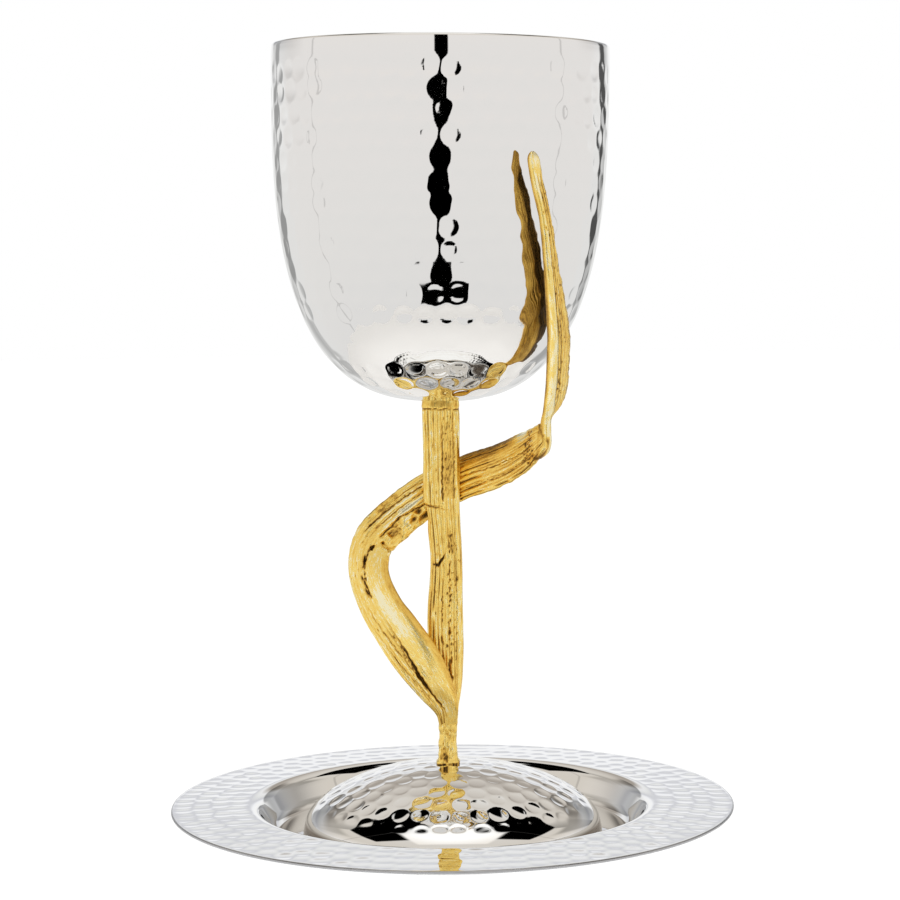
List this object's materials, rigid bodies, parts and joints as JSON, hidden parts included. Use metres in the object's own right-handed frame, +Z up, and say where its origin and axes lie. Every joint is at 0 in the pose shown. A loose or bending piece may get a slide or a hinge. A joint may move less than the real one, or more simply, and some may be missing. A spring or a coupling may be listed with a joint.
{
  "type": "elijah cup",
  "caption": "Hammered steel ceremonial goblet on a cast leaf stem and domed foot, standing in the well of its own round saucer.",
  "frame": {"origin": "middle of the saucer's flat underside, on the surface it stands on", "axes": "+Z up along the cup, +X to the right and -Y towards the viewer of the front, where the leaf rises before the bowl"},
  "size_m": [0.165, 0.165, 0.2307],
  "materials": {
    "hammered_steel": "mirror-polished stainless steel, hammered all over",
    "cast_brass": "cast brass, polished on its ribs and darkened in its grooves",
    "domed_steel": "mirror-polished stainless steel, hammered dome and plain skirt",
    "polished_steel": "polished stainless steel, softly hammered rim and plain mirror well"
  },
  "bodies": {
    "root": {"bowl": "hammered_steel", "leaf_stem": "cast_brass", "foot": "domed_steel", "saucer": "polished_steel"}
  },
  "joints": []
}
